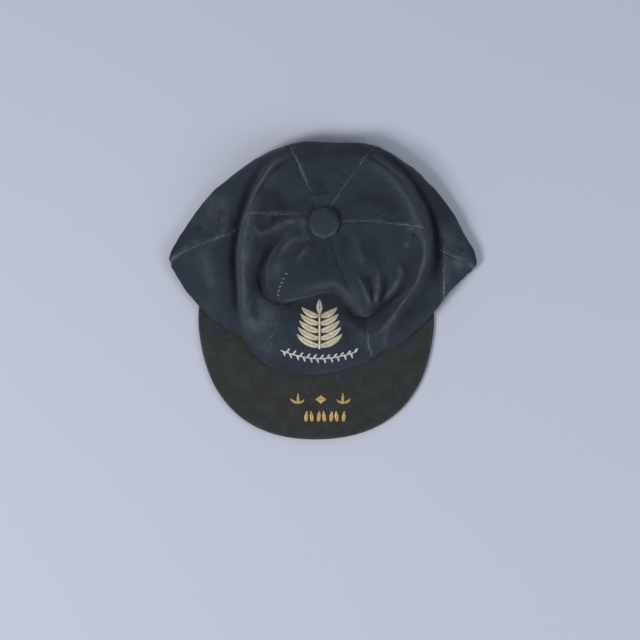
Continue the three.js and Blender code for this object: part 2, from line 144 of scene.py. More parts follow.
# angle, distance of the folded edge from the button's axis
outline = np.array([
    [5, 104.1], [16, 94.6], [29, 86.4], [45, 79.1], [57.5, 75], [72, 68.7], [90, 66.3], [106, 68.2],
    [124, 71.9], [138, 76.5], [148, 81.6], [156, 86.9], [163, 92.5], [169, 97.8], [175, 104.2], [180, 110.4],
    [185, 117.4], [190, 124.6], [193, 127.2], [196, 127.2], [204, 124], [212, 120.6], [220, 118], [227, 115],
    [233.5, 112], [240, 116.8], [247.5, 121], [255, 122.4], [268, 120.2], [278, 117.6], [288, 114.4],
    [295, 111.8], [302, 113.2], [312, 113], [322, 113], [332, 115.2], [341, 122.6], [346, 126.8], [349, 124],
    [356, 113.8],
])
# angle, then distance and height of the slumped lobe, the valley, the ridge, the groove outside it and the
# wing, and the height of the folded edge
sections = np.array([
    [0, 30, 34, 57, 34, 74.8, 41, 85, 16.5, 92, 22, 8],
    [15, 28, 33, 53, 33, 69.8, 40.5, 79, 17, 86, 21, 9],
    [30, 26, 32, 47, 32, 66.5, 39.5, 75, 19.5, 80.5, 21, 10],
    [45, 24, 31, 44, 32, 63.3, 38.5, 70.3, 21.5, 75.6, 21.5, 12],
    [60, 22, 31, 42, 33, 60, 37, 67, 29, 71, 24, 13],
    [90, 20, 31, 36, 33, 50, 37, 57, 33, 62, 27, 14],
    [120, 20, 32, 38, 34, 55.4, 38, 63, 29, 67.5, 25, 13],
    [135, 22, 34, 40, 34, 57.8, 39, 64.5, 22, 71, 22, 12],
    [150, 24, 36, 41, 34, 56.8, 40.5, 63.4, 17, 71, 21.5, 10],
    [165, 26, 37, 44, 34, 57.8, 41.5, 63.6, 15, 71, 21.5, 8],
    [180, 28, 37, 46, 33, 61.2, 42, 66.6, 15, 73.6, 21, 7.5],
    [194, 27, 37, 45, 31, 66, 42, 71.4, 15.5, 79, 21.5, 8],
    [205, 33, 38, 48, 28, 71.4, 42, 77, 15.5, 85, 20.5, 7.5],
    [217, 47, 38.5, 61.5, 27, 80.2, 41.5, 86, 16, 94, 19.5, 9],
    [227, 60, 38, 70.2, 28, 92.4, 39.5, 97.8, 19, 104.5, 18, 11],
    [233.5, 64, 38, 72, 29, 100.6, 37.5, 105.4, 22, 109.2, 17.5, 12],
    [241, 66.5, 38, 73, 29.5, 98.5, 37, 109, 29, 113.5, 19, 13],
    [254, 58, 39, 63.5, 31, 82, 37.5, 100, 30, 116, 20, 13],
    [270, 51, 40, 57.5, 32, 76, 38, 98, 30.5, 115.5, 19, 13],
    [284, 55.5, 39, 64.5, 31, 82, 37.5, 99, 30, 112, 19, 13],
    [293, 76, 37, 82, 28.5, 97, 35.5, 104, 28, 109.5, 19, 12.5],
    [303, 72, 37, 81, 28, 94, 39, 102, 26, 108.5, 18.5, 11],
    [315, 66, 37, 80, 29.5, 88.6, 41, 97.5, 22.5, 107, 19, 9],
    [330, 62, 36, 79, 34, 86, 41.5, 96, 17.5, 108, 19.5, 8],
    [345, 48, 35, 70, 35, 82.4, 42, 92, 15.5, 98, 22.5, 7],
])


def around(table, angles):
    """Every column of a table of rows led by their angle, at these angles: a cubic through the rows that
    closes after a full turn. A row's slope is the mean of the slopes on its two sides, each weighted by the
    other's step."""
    turn = np.zeros(table.shape[1])
    turn[0] = 360
    rows = np.vstack([table[-2:] - turn, table, table[:3] + turn])
    x, y = rows[:, 0], rows[:, 1:]
    step = np.diff(x)[:, None]
    slope = np.diff(y, axis=0) / step
    tangent = (slope[:-1] * step[1:] + slope[1:] * step[:-1]) / (step[:-1] + step[1:])
    a = (angles - table[0, 0]) % 360 + table[0, 0]
    k = np.clip(np.searchsorted(x, a, side="right") - 1, 1, len(x) - 3)
    s = (a - x[k])[:, None] / step[k]
    start, end = tangent[k - 1] * step[k], tangent[k] * step[k]
    return (
        (2 * s**3 - 3 * s**2 + 1) * y[k]
        + (s**3 - 2 * s**2 + s) * start
        + (3 * s**2 - 2 * s**3) * y[k + 1]
        + (s**3 - s**2) * end
    )


def smooth_step(value, low, high):
    """0 below low, 1 above high, and an S curve 3s² - 2s³ between them."""
    s = np.clip((value - low) / (high - low), 0, 1)
    return s * s * (3 - 2 * s)


def bell(value, width):
    """1 at zero, falling off on both sides as exp(-(value ÷ width)²)."""
    return np.exp(-((value / width) ** 2))


def polar(centre, distance, turn):
    """x and y at this distance and angle (radians) from a centre."""
    return centre[0] + distance * np.cos(turn), centre[1] + distance * np.sin(turn)


def ray_to_circle(start, angles, circle):
    """How far the ray at an angle (radians) from a point goes before it leaves a circle."""
    dx, dy = start[0] - circle[0], start[1] - circle[1]
    along = dx * np.cos(angles) + dy * np.sin(angles)
    return -along + np.sqrt(along**2 - dx**2 - dy**2 + circle[2] ** 2)


def peak_outer(angles):
    """Distance of the peak's front edge from the centre of the head opening: that of a circle, pushed out a
    little in the middle and more at two soft corners as the square of a sine, fading towards the horns."""
    away = np.abs(np.degrees(angles) - 270)
    corner = np.sin(np.pi * np.minimum(away, 52) / 52) ** 2
    pushed = (2.2 + 2.9 * corner) * (1 - smooth_step(away, 40, 60))
    return ray_to_circle(ring, angles, peak_round) + pushed


def peak_depth(x, y):
    """The peak's thickness: full in front, thinning towards the two horns."""
    side = np.abs(np.sin(np.arctan2(y - ring[1], x - ring[0])))
    full = smooth_step(side, math.sin(math.radians(horn_angle)), 0.5)
    return horn_thickness + (peak_thickness - horn_thickness) * full


def peak_under(x):
    """Height of the peak's underside: a parabola, highest in the middle, down to the ground at both sides."""
    return peak_arch * (1 - ((x - peak_round[0]) / peak_round[2]) ** 2)


def peak_top(x, y):
    """Height of the peak's top cloth."""
    return peak_under(x) + peak_depth(x, y)


def hem_height(x, y):
    """Height of the hem: on the ground behind, on top of the peak in front, rising beside each horn."""
    below = -np.sin(np.arctan2(y - ring[1], x - ring[0]))
    low, high = (math.sin(math.radians(horn_angle - shift)) for shift in (18, 6))
    return smooth_step(below, low, high) * (peak_top(x, y) + clearance)


# A section's parameter at the groove, the folded edge, the top of the hem and the hem's lower edge
groove_t, edge_t, hem_top_t, hem_t = 4, 6, 8, 9


def section_knots(angles):
    """The crown's section at each angle, as nine points (distance, height) and the hem under the last of
    them: start, lobe, valley, ridge, groove, wing, folded edge, underside and top of the hem."""
    form = around(sections, angles)
    rim_r = around(outline, angles)[:, 0]
    turn = np.radians(angles)
    hem_r = np.minimum(ray_to_circle(axis, turn, ring), rim_r)
    rim_z = form[:, 10]
    hem_z = hem_height(*polar(axis, hem_r, turn))
    overhang = smooth_step(rim_r - hem_r, 0, 18)
    hem_top = hem_z + (rim_z - hem_z) * 0.45 * (1 - overhang) + hem_band * overhang
    under_r = hem_r + 0.6 * (rim_r - hem_r)
    hanging = np.maximum(fly_gap, hem_height(*polar(axis, under_r, turn)) + 2)
    under_z = (rim_z + hem_top) / 2 * (1 - overhang) + hanging * overhang
    centre = np.full((len(angles), 2), (panel_start, centre_height))
    outside = np.stack([rim_r, rim_z, under_r, under_z, hem_r, hem_top], 1)
    knots = np.hstack([centre, form[:, :10], outside]).reshape(len(angles), 9, 2)
    return knots, np.stack([hem_r, hem_z], 1)


def through_knots(knots, t):
    """A centripetal Catmull-Rom curve through the knots: a cubic between each two, whose end slopes come from
    the neighbours, with the square root of each step's length as its share of the parameter."""
    first = 2 * knots[:, :1] - knots[:, 1:2]
    last = 2 * knots[:, -1:] - knots[:, -2:-1]
    row = np.arange(len(t))
    line = np.concatenate([first, knots, last], axis=1)
    k = np.minimum(t.astype(int), knots.shape[1] - 2)
    s = (t - k)[:, None]
    p0, p1, p2, p3 = (line[row, k + i] for i in range(4))
    pairs = ((p0, p1), (p1, p2), (p2, p3))
    d0, d1, d2 = (np.maximum(((b - a) ** 2).sum(1, keepdims=True), 1e-12) ** 0.25 for a, b in pairs)
    m1 = ((p1 - p0) / d0 - (p2 - p0) / (d0 + d1) + (p2 - p1) / d1) * d1
    m2 = ((p2 - p1) / d1 - (p3 - p1) / (d1 + d2) + (p3 - p2) / d2) * d1
    return p1 + m1 * s + (-3 * p1 + 3 * p2 - 2 * m1 - m2) * s**2 + (2 * p1 - 2 * p2 + m1 + m2) * s**3


# Folds pressed into the cloth: height, half width on the left of a line and on its right, and x and y of each
# point of the line. The height is negative for a valley. It fades to nothing at both ends of the line.
folds = [
    [3.2, 3, 4, -56.4, 53.2, -49.2, 45.2, -38.8, 49.2, -30, 54.8, -18.8, 55.6],
    [-3, 3.2, 4, -26.8, 46.8, -34.8, 37.2, -44.4, 27.6, -52.4, 18],
    [2, 1.8, 1.5, -25.6, 50, -32.4, 40.4, -41.2, 28.4, -44.4, 16.4, -45, 5.2, -39.6, -5.2],
    [2.2, 3, 3, -14.8, 38, -22, 42, -28.4, 37.2, -31.6, 30.8],
    [2.4, 2.2, 2.2, -16.4, 60.4, -15.6, 46.8, -12.4, 38.8],
    [-2.2, 3, 3, -21.2, 32.4, -18.8, 22.8],
    [2.4, 2.4, 2.4, -46.8, 46.8, -38.8, 50, -32.4, 54.8],
    [-1.8, 2.6, 2.6, -44, 56, -32, 59, -20, 58],
    [2.2, 2.5, 2.5, -10.8, 34, -18.8, 27.6, -21.2, 20.4],
    [-1.5, 5, 5, 1.2, 38, 1.2, 28],
    [-2.5, 4, 4, 14.8, 48.4, 18, 22.8],
    [3, 4, 4, 22.8, 48.4, 27.6, 32.4, 30.8, 20.4],
    [4.6, 2.1, 2.1, 26.8, 12.4, 32.4, 0.4, 37.2, -11.6],
    [-3.2, 1.9, 1.9, 34.8, 14.8, 38, 2, 38.8, -10],
    [5, 2, 2, 42.8, 18, 43.6, 3.6, 41.2, -10.8],
    [-3.4, 2.4, 2.4, 50, 14.8, 49.2, 2, 45.2, -9.2],
    [4, 3.6, 3.6, 59.6, 22.8, 62, 12.4, 56, 1, 47, -9],
    [-3, 2.4, 1.8, 81.2, 22.8, 70.8, 5.2, 57.2, -6, 45.2, -14, 33.2, -22, 22.8, -20.4, 17.2, -10],
    [-3.4, 1.7, 1.7, -53.2, 16, -52, 6, -49.2, -0.4, -44.4, -6, -37.2, -9.2, -30, -10.8, -18.8, -6.8],
    [1.6, 1.5, 1.5, 77.4, 52.4, 81.2, 32.4, 80.2, 18, 75.2, 6, 65.2, -7.6, 54, -19.6, 50, -31.6],
    [1.4, 3, 3, -16.4, -2, -4.4, 3.6, 6.8, 6, 18.8, -0.4, 26.8, -10, 30.8, -20.4],
    [-1.2, 3, 3, -30, -17.2, -27.6, -31.6, -22, -44.4],
    [1.8, 6.5, 5, -54, -2, -57, -12, -57, -20, -53, -30],
    [-1.5, 4, 4, 19.6, -25.2, 19.6, -43.6],
    [3, 2.5, 5, 59.6, -15.6, 51.6, -30, 48.4, -43.6],
    [-2.5, 5, 5, -84.4, 76.4, -83.6, 46.8],
    [2, 4, 4, -76.4, 72.4, -77.2, 46.8],
    [2.2, 8, 8, -94.8, 36.4, -92.4, 16.4, -88.4, 0.4],
    [4, 9, 1.3, 95.6, 42, 95.8, 22.8, 96.4, -8],
    [-2.5, 9, 9, -2.8, 90, -1.2, 75.6],
    [-2.4, 7, 7, 22.8, 76.4, 49.2, 72.4, 59.6, 62.8],
    [1.5, 6, 6, 43.6, 60.4, 47.6, 54],
    [-2, 6, 6, -42.8, 80.4, -30.8, 68.4, -18.8, 64.4],
]


def distance_to_line(points, line):
    """For each point, its distance to a line of straight steps, the length along the line to the nearest
    place, and whether it lies on the line's left seen from above (1) or on its right (-1)."""
    best = np.full(len(points), np.inf)
    run = np.zeros(len(points))
    side = np.ones(len(points))
    travelled = 0
    for a, b in zip(line[:-1], line[1:]):
        step = b - a
        length = np.linalg.norm(step)
        if length == 0:
            continue
        s = np.clip((points - a) @ step / length**2, 0, 1)
        away = points - a - s[:, None] * step
        distance = np.sqrt((away**2).sum(1))
        nearer = distance < best
        best[nearer] = distance[nearer]
        run[nearer] = (travelled + s * length)[nearer]
        side[nearer] = np.sign(step[0] * away[:, 1] - step[1] * away[:, 0])[nearer]
        travelled += length
    return best, run, side


def run_length(line):
    """Length along a line of points, up to each of them."""
    return np.concatenate([[0], np.cumsum(np.linalg.norm(np.diff(line, axis=0), axis=1))])


def fold_height(x, y):
    """The folds' height at a point, and how much it lies on a crest and in a valley. Across its line a fold
    falls off as the exponential of the distance over its half width, with the very crest or bottom
    rounded."""
    points = np.stack([x, y], 1)
    total, crest, valley = (np.zeros(len(points)) for _ in range(3))
    for height, left, right, *line in folds:
        line = np.reshape(line, (-1, 2))
        distance, run, side = distance_to_line(points, line)
        share = run / run_length(line)[-1]
        fading = smooth_step(share, -0.05, 0.22) * (1 - smooth_step(share, 0.82, 1.05))
        width = np.where(side > 0, left, right)
        rounding = 0.35 * width
        off = np.sqrt(distance**2 + rounding**2) - rounding
        total += height * fading * np.exp(-1.3 * off / width)
        mark = abs(height) / 3 * fading * bell(distance, 0.7 * width)
        if height > 0:
            crest = np.maximum(crest, mark)
        else:
            valley = np.maximum(valley, mark)
    return total, crest, valley


def smooth_crown(angles, t):
    """The crown's outside without its folds, at an angle and a section parameter, which counts the knots from
    0 to 9 at the hem."""
    knots, hem = section_knots(angles)
    profile = through_knots(knots, np.minimum(t, hem_top_t))
    down = np.clip(t - hem_top_t, 0, 1)[:, None]
    profile = profile * (1 - down) + hem * down
    return np.stack([*polar(axis, profile[:, 0], np.radians(angles)), profile[:, 1]], 1)


def crown_points(angles, t):
    """The crown's outside with its folds, which fade out towards the folded edge."""
    points = smooth_crown(angles, t)
    points[:, 2] += (1 - smooth_step(t, 5.4, 6.2)) * fold_height(points[:, 0], points[:, 1])[0]
    return points


# The seams: the angle about the button at which each starts and crosses the lobe, valley, ridge, groove,
# wing, folded edge, underside and hem.
seams = {
    "right": [3, 3, -0.5, -2.5, -8, -13.2, -16.5, -18.5, -20],
    "back_right": [66, 64, 60, 58, 57, 56.5, 56, 55, 54],
    "back_left": [113, 113, 113, 113.5, 114, 114, 114.5, 115, 116],
    "left": [152, 165, 170, 173, 180.5, 185.5, 194.2, 194.8, 196],
    "front_left": [226, 236.5, 242.5, 244.6, 246, 246.8, 247.2, 247.5, 247.5],
    "front_right": [289, 291.5, 292.4, 291.5, 290, 289.8, 289.6, 289.6, 289.5],
}

# Each panel lies between two seams that follow each other.
panel_names = ("back_right", "back", "back_left", "front_left", "front", "front_right")
panels = dict(zip(panel_names, itertools.pairwise([*seams, "right"])))

# How pale rubbed each seam is at the start, lobe, valley, ridge, groove, wing and folded edge, from 0 to 1.
seam_paleness = {
    "right": [0.25, 0.4, 0.45, 0.85, 0.3, 0.75, 0.9],
    "back_right": [0.15, 0.4, 0.25, 0.35, 0.4, 0.35, 0.4],
    "back_left": [0.1, 0.1, 0.55, 0.8, 0.5, 0.4, 0.3],
    "left": [0.05, 0.2, 0.4, 0.6, 0.3, 0.55, 0.8],
    "front_left": [0.05, 0.1, 0.4, 0.55, 0.6, 0.55, 0.4],
    "front_right": [0.02, 0.02, 0.03, 0.35, 0.65, 0.7, 0.4],
}


def along_seam(table, name, t):
    """A seam's value at each section parameter, straight between the table's values at the knots."""
    return np.interp(t, np.arange(len(table[name])), table[name])


# Large primes scatter the lattice's places over the random numbers.
lattice_primes = (73856093, 19349663, 83492791)
lattice_numbers = 4096


def soft_noise(points, size, seed):
    """Smooth random values from -1 to 1 at points on a line, on a plane or in space: random numbers on a
    lattice of that size, blended with S curves."""
    numbers = np.random.default_rng(seed).uniform(-1, 1, lattice_numbers)
    places = points.shape[-1]
    cell = np.floor(points / size).astype(np.int64)
    s = points / size - cell
    s = s * s * (3 - 2 * s)
    total = np.zeros(points.shape[:-1])
    for corner in itertools.product((0, 1), repeat=places):
        key = np.bitwise_xor.reduce((cell + corner) * lattice_primes[:places], axis=-1)
        total += numbers[key % lattice_numbers] * np.prod(np.where(corner, s, 1 - s), axis=-1)
    return total


def layered_noise(points, layers):
    """A sum of smooth noises, one for each (height, size, seed)."""
    return sum(height * soft_noise(points, size, seed) for height, size, seed in layers)


def unit(vectors):
    """Vectors brought to length 1."""
    return vectors / np.maximum(np.linalg.norm(vectors, axis=-1, keepdims=True), 1e-9)


def grid_normals(grid):
    """Unit normals of a grid of points, from the cross product of its two directions."""
    return unit(np.cross(np.gradient(grid, axis=0), np.gradient(grid, axis=1)))


def blurred(grid, reach):
    """A grid averaged over a square of 2 × reach + 1 samples each way, with its edges carried on."""
    padded = np.pad(grid, ((reach, reach), (reach, reach), (0, 0)), mode="edge")
    square = (2 * reach + 1, 2 * reach + 1)
    return np.lib.stride_tricks.sliding_window_view(padded, square, axis=(0, 1)).mean(axis=(-2, -1))


def wall_faces(rows, columns):
    """Faces of a closed wall between two grids of points, the outer grid's points first."""
    number = np.arange(rows * columns).reshape(rows, columns)
    top = np.stack([number[:-1, :-1], number[1:, :-1], number[1:, 1:], number[:-1, 1:]], 2).reshape(-1, 4)
    rim = np.concatenate([number[0, :-1], number[:-1, -1], number[-1, :0:-1], number[:0:-1, 0]])
    after = np.roll(rim, -1)
    low = rows * columns
    return np.concatenate([top, top[:, ::-1] + low, np.stack([rim, after, after + low, rim + low], 1)])


def new_piece(name, points, faces, material, attributes):
    """A smooth mesh object in metres from points in millimetres, with numbers on its points as attributes.
    Numbers that run short are filled up with 0."""
    points = np.reshape(points, (-1, 3)) * MM
    mesh = bpy.data.meshes.new(name)
    mesh.from_pydata(points, [], faces)
    mesh.shade_smooth()
    for key, values in attributes.items():
        layer = mesh.attributes.new(key, "FLOAT", "POINT")
        filled = np.pad(np.ravel(values), (0, len(points) - np.size(values)))
        layer.data.foreach_set("value", filled.astype(np.float32))
    mesh.materials.append(material)
    return new_object(name, mesh)


# Wool: dark navy, felted by wear into a short nap, faded unevenly, with a little pale lint caught in it. It
# is rubbed paler along its seams and on its ridges, painted paler as highlight on the crests of its folds and
# as light in its grooves, and painted darker as shade in its creases, valleys, on steep walls and in its moth
# holes.
def new_group(name, inputs, outputs):
    """An empty shader node group with these sockets, and the sockets as seen inside it: given and wanted."""
    group = bpy.data.node_groups.new(name, "ShaderNodeTree")
    for direction, sockets in (("INPUT", inputs), ("OUTPUT", outputs)):
        for socket, kind in sockets.items():
            group.interface.new_socket(socket, in_out=direction, socket_type=kind)
    return group, group.nodes.new("NodeGroupInput").outputs, group.nodes.new("NodeGroupOutput").inputs


NUMBER, VECTOR = "NodeSocketFloat", "NodeSocketVector"


def maths(tree, operation, first, second=0, clamp=False):
    """One step of arithmetic, as a socket."""
    settings = {"operation": operation, "use_clamp": clamp}
    return add_node(tree, "ShaderNodeMath", settings, {0: first, 1: second}).outputs[0]


def noise(tree, place, scale, detail=3, roughness=0.55):
    """Blender's noise at this many cells to the metre, as a socket from 0 to 1."""
    inputs = {"Vector": place, "Scale": scale, "Detail": detail, "Roughness": roughness}
    return add_node(tree, "ShaderNodeTexNoise", {}, inputs).outputs["Fac"]


def ramp(tree, value, low, high, to_low=0, to_high=1):
    """A value's range low to high spread over to_low to to_high and held there."""
    inputs = {"Value": value, "From Min": low, "From Max": high, "To Min": to_low, "To Max": to_high}
    return add_node(tree, "ShaderNodeMapRange", {"clamp": True}, inputs).outputs["Result"]


def weighted(tree, *parts):
    """A sum of values, each times its weight, held between 0 and 1, as a socket."""
    total = 0
    for value, weight in parts:
        total = maths(tree, "ADD", total, maths(tree, "MULTIPLY", value, weight), True)
    return total


colour_a, colour_b, colour_out = 6, 7, 2  # the places of the colour sockets of a Mix node


def layered_colour(tree, colour, *layers):
    """A colour with others mixed over it in turn, each by its factor, as a socket."""
    for factor, over in layers:
        inputs = {"Factor": factor, colour_a: colour, colour_b: over}
        colour = add_node(tree, "ShaderNodeMix", {"data_type": "RGBA"}, inputs).outputs[colour_out]
    return colour


# felted nap: short fibres in clumps. Tone is their light and dark, Height their relief.
nap_results = {"Tone": NUMBER, "Height": NUMBER}
nap_group, given, wanted = new_group("felted nap", {"Place": VECTOR, "Fibres": NUMBER}, nap_results)
fine = noise(nap_group, given["Place"], given["Fibres"], 4, 0.7)
clump_scale = maths(nap_group, "MULTIPLY", given["Fibres"], 0.22)
clumps = noise(nap_group, given["Place"], clump_scale)
nap_height = weighted(nap_group, (fine, 0.6), (clumps, 0.4))
nap_group.links.new(ramp(nap_group, nap_height, 0.32, 0.68), wanted["Tone"])
nap_group.links.new(nap_height, wanted["Height"])

# fading: slow patches of lighter and darker dye, from 0 to 1
fading_group, given, wanted = new_group("fading", {"Place": VECTOR, "Patches": NUMBER}, {"Mask": NUMBER})
patch = noise(fading_group, given["Place"], given["Patches"], 3, 0.6)
fading_group.links.new(ramp(fading_group, patch, 0.3, 0.7), wanted["Mask"])

# lint: sparse pale specks, where two noises peak together
lint_group, given, wanted = new_group("lint", {"Place": VECTOR, "Amount": NUMBER}, {"Mask": NUMBER})
speck = noise(lint_group, given["Place"], 620, 1)
drift = noise(lint_group, given["Place"], 45, 2)
both = maths(lint_group, "ADD", speck, maths(lint_group, "MULTIPLY", drift, 0.35))
level = maths(lint_group, "SUBTRACT", 1.06, given["Amount"])
above = maths(lint_group, "SUBTRACT", both, level)
lint_group.links.new(ramp(lint_group, above, 0, 0.05), wanted["Mask"])


def place_group(tree, group, inputs):
    """The output sockets of a node group in a material, with these values and links at its inputs."""
    return add_node(tree, "ShaderNodeGroup", {"node_tree": group}, inputs).outputs


def bump(tree, height, distance, strength=1):
    """Normals from a height from 0 to 1 that stands for this depth in metres, as a socket."""
    inputs = {"Height": height, "Distance": distance, "Strength": strength}
    return add_node(tree, "ShaderNodeBump", {}, inputs).outputs["Normal"]


def attribute(tree, name):
    """A number that the mesh holds at its points, as a socket."""
    return add_node(tree, "ShaderNodeAttribute", {"attribute_name": name}).outputs["Fac"]


wool_dark = (0.0085, 0.0125, 0.0185, 1)
wool_pale = (0.019, 0.0255, 0.036, 1)
wool_rubbed_and_lit = (0.052, 0.062, 0.08, 1)
wool_painted_shade = (0.0045, 0.0065, 0.01, 1)
wool_lint = (0.2, 0.22, 0.25, 1)
wool_hole_shade = (0.003, 0.004, 0.006, 1)

wool, tree, shader = new_material("navy wool", {
    "Roughness": 0.95, "Specular IOR Level": 0.2,
    "Sheen Weight": 0.12, "Sheen Roughness": 0.45, "Sheen Tint": (0.62, 0.72, 0.9, 1),
})
place = add_node(tree, "ShaderNodeTexCoord").outputs["Object"]
nap = place_group(tree, nap_group, {"Place": place, "Fibres": 1500})
fading = place_group(tree, fading_group, {"Place": place, "Patches": 48})
lint = place_group(tree, lint_group, {"Place": place, "Amount": 0.06})
tone = weighted(tree, (nap["Tone"], 0.4), (fading["Mask"], 0.6))
tips = ramp(tree, nap["Height"], 0.35, 0.6, 0.45, 1)
cloth_colour = layered_colour(
    tree, wool_dark, (tone, wool_pale),
    # Painted shade: darker in the lobe's crease, in fold valleys and dark patches, and on the ridge's steep
    # outer wall.
    (weighted(tree, (attribute(tree, "painted_shade"), 0.75)), wool_painted_shade),
    # Paler where rubbed along seams and ridges, with painted highlight on ridges, fold crests and the lobe's
    # edge, and painted light in the grooves.
    (weighted(tree, (attribute(tree, "wear_and_highlight"), tips)), wool_rubbed_and_lit),
    # Painted shade: moth-eaten spots painted near-black as the inside of a hole.
    (weighted(tree, (attribute(tree, "nibbled"), 0.6)), wool_hole_shade),
    (lint["Mask"], wool_lint),
)
tree.links.new(cloth_colour, shader.inputs["Base Color"])
tree.links.new(bump(tree, nap["Height"], 0.0005, 0.7), shader.inputs["Normal"])

# Where the panels meet, each turns its edge down into the seam, and is lifted beside it by the allowances
# inside. Its outer grid has these rows between the knots of its section and these columns between its seams.
seam_depth = 0.6
seam_width = 0.8
allowance_lift = 0.32
allowance_place = 2.6
allowance_width = 1.5
seam_slit = 0.05
rows_between_knots = [16, 38, 36, 26, 30, 34, 20, 12, 8]
panel_columns = 130
edge_crowding = 0.06

# The cloth's own unevenness and the blotches of its wear: height, size and seed of each noise
slack_layers = ((0.7, 13, 11), (0.3, 5.5, 12), (0.09, 2.6, 13))
blotch_level = 0.65
blotch_layers = ((0.45, 9, 21), (0.2, 2.4, 22))

# Small moth-eaten spots, dented and painted darker as the shade inside a hole: x, y, radius, depth
nibbles = np.array([
    [-58.8, 41.2, 1.5, 0.8], [-38.8, 57.2, 1.7, 0.8], [-101.2, 50, 1.3, 0.7], [-91.6, 44.4, 1, 0.6],
    [-44, 63, 1.1, 0.6], [69.2, 52.4, 1.3, 0.7], [70.8, 43.6, 1.2, 0.7], [111, 33, 1.5, 0.8],
    [15.6, 92, 1.2, 0.6], [-46, 91, 1.2, 0.6], [10.8, 20, 1, 0.5],
])


# Places painted paler: faded dye in part, and painted highlight on lit folds and the pressed edge of the
# right wing, with painted light in the shaded right groove: x, y, radius, strength
faded_and_lit_patches = np.array([
    [-50, -22, 14, 1.1], [-46, -44, 10, 0.35], [-98, 28, 16, 0.22], [-38, 16, 7, 0.6], [-44, 88, 9, 0.35],
    [30, 50, 14, 0.12], [44, 8, 12, 0.14], [104, 42, 12, 1], [-88, 59, 15, 1.1], [24, -20, 8, 0.25],
    [62, 34, 14, 0.12], [110, 23, 9, 1.2], [-3, -62, 12, 0.15], [34, -36, 8, 0.3], [-90, -6, 13, 0.25],
    [82, 1, 9, 0.5], [-24, 58, 7, 0.35], [22, -5, 7, 0.8], [30, -16.5, 4, 1], [96.6, 16, 2.2, 0.8],
    [96.4, 11, 2.2, 0.9], [96.4, 5.5, 2.6, 1.6], [96.4, 0.5, 2.4, 1.4], [96.2, -4.5, 2.2, 0.9],
    [70, 50.5, 4, 0.9], [76, 48, 3.5, 1], [66, 36, 2.5, 0.8], [98, 30.5, 3, 1.2], [106, 26, 3.6, 1],
    [113, 22, 3.2, 1.3], [-60, 62, 4, 0.9], [-102, 38, 4, 0.8], [-110, 33, 3.5, 0.9], [-80, 48.5, 3, 0.8],
    [-15.8, 52, 3, 0.8], [-13, 42, 2.6, 0.8], [-53, -8, 8, 1], [-47, -14, 7, 0.5],
])

# Places painted darker as shade in hollows and beside folds: x, y, radius, strength
painted_shade_patches = np.array([
    [-4, 27, 14, 1.1], [46, 76, 12, 0.22], [8, 94, 14, 0.6], [60, -24, 11, 0.75], [-18, 24, 6, 0.3],
    [70, -26, 12, 0.15], [-26.8, 46.8, 4.5, 0.9], [-34.4, 41, 5.5, 0.8], [-44.4, 35.5, 7.5, 0.5],
    [-51.5, 28, 8.5, 0.2], [-52.5, 20, 8, 0.1], [-51.5, 12, 6.5, 0.35], [-48.5, 4, 5, 0.8], [-43, -4, 5, 0.8],
    [41, 17, 12, 0.35], [6, 0, 8, 0.45], [-56, 78, 4, 0.8], [-52.5, 85, 4.5, 0.9], [-48, 92.5, 4.5, 0.9],
    [-43, 99, 4.5, 0.8],
])

# angle, how pale the ridge is there from wear and painted highlight, how far inside it and where along the
# section that paleness lies, how dark its outer wall is painted as shade, how much painted light lifts the
# groove outside it, and how clearly the lobe's edge stands out as painted highlight and its crease as painted
# shade
fold_wear_and_light = np.array([
    [0, 0.9, 0.28, 3.05, 0.9, 1.1, 0], [15, 0.9, 0.28, 3, 0.9, 1.1, 0], [30, 0.75, 0.28, 2.95, 0.9, 1.1, 0],
    [46, 0.5, 0.3, 2.95, 1, 0.9, 0], [62, 0, 0.3, 2.95, 0, 0, 0], [90, 0, 0.3, 2.95, 0, 0, 0],
    [118, 0, 0.3, 2.8, 0, 0, 0], [130, 0, 0.3, 2.7, 1, 0.4, 0], [150, 0, 0.35, 2.75, 1, 0.5, 0],
    [165, 0.3, 0.4, 2.9, 0.8, 0.6, 0], [174, 0.9, 0.35, 2.95, 0.1, 0.7, 0],
    [184, 0.6, 0.35, 2.95, 0, 0.7, 0.2], [194, 1, 0.42, 2.95, 0, 0.7, 0.5], [205, 1, 0.42, 2.95, 0, 0.7, 1],
    [222, 0.95, 0.4, 2.95, 0, 0.7, 0.7], [231, 0.8, 0.36, 2.95, 0, 0.6, 0], [243, 0, 0.3, 2.95, 0, 0, 0.6],
    [265, 0, 0.3, 2.95, 0, 0, 1], [285, 0, 0.3, 2.95, 0, 0, 1], [292, 0.2, 0.2, 2.95, 0, 0, 1],
    [298, 0.6, 0.15, 2.95, 0, 0, 1], [315, 1, 0.14, 2.97, 0.2, 0, 1], [330, 1.1, 0.15, 3, 0.6, 0.4, 0.8],
    [345, 1.1, 0.2, 3.05, 0.9, 1, 0.2],
])
lobe_edge_t, crease_t = 0.95, 1.93  # where along the section that edge and that crease lie


def patch_strength(points, patches):
    """How strongly the patches mark each point: the greatest strength × bell(distance, radius)."""
    marks = np.zeros(len(points))
    for x, y, size, strength in patches:
        away = np.hypot(points[:, 0] - x, points[:, 1] - y)
        marks = np.maximum(marks, strength * bell(away, size))
    return marks


def seam_points(name, t):
    """Points of the crown along a seam."""
    return crown_points(along_seam(seams, name, t), t)


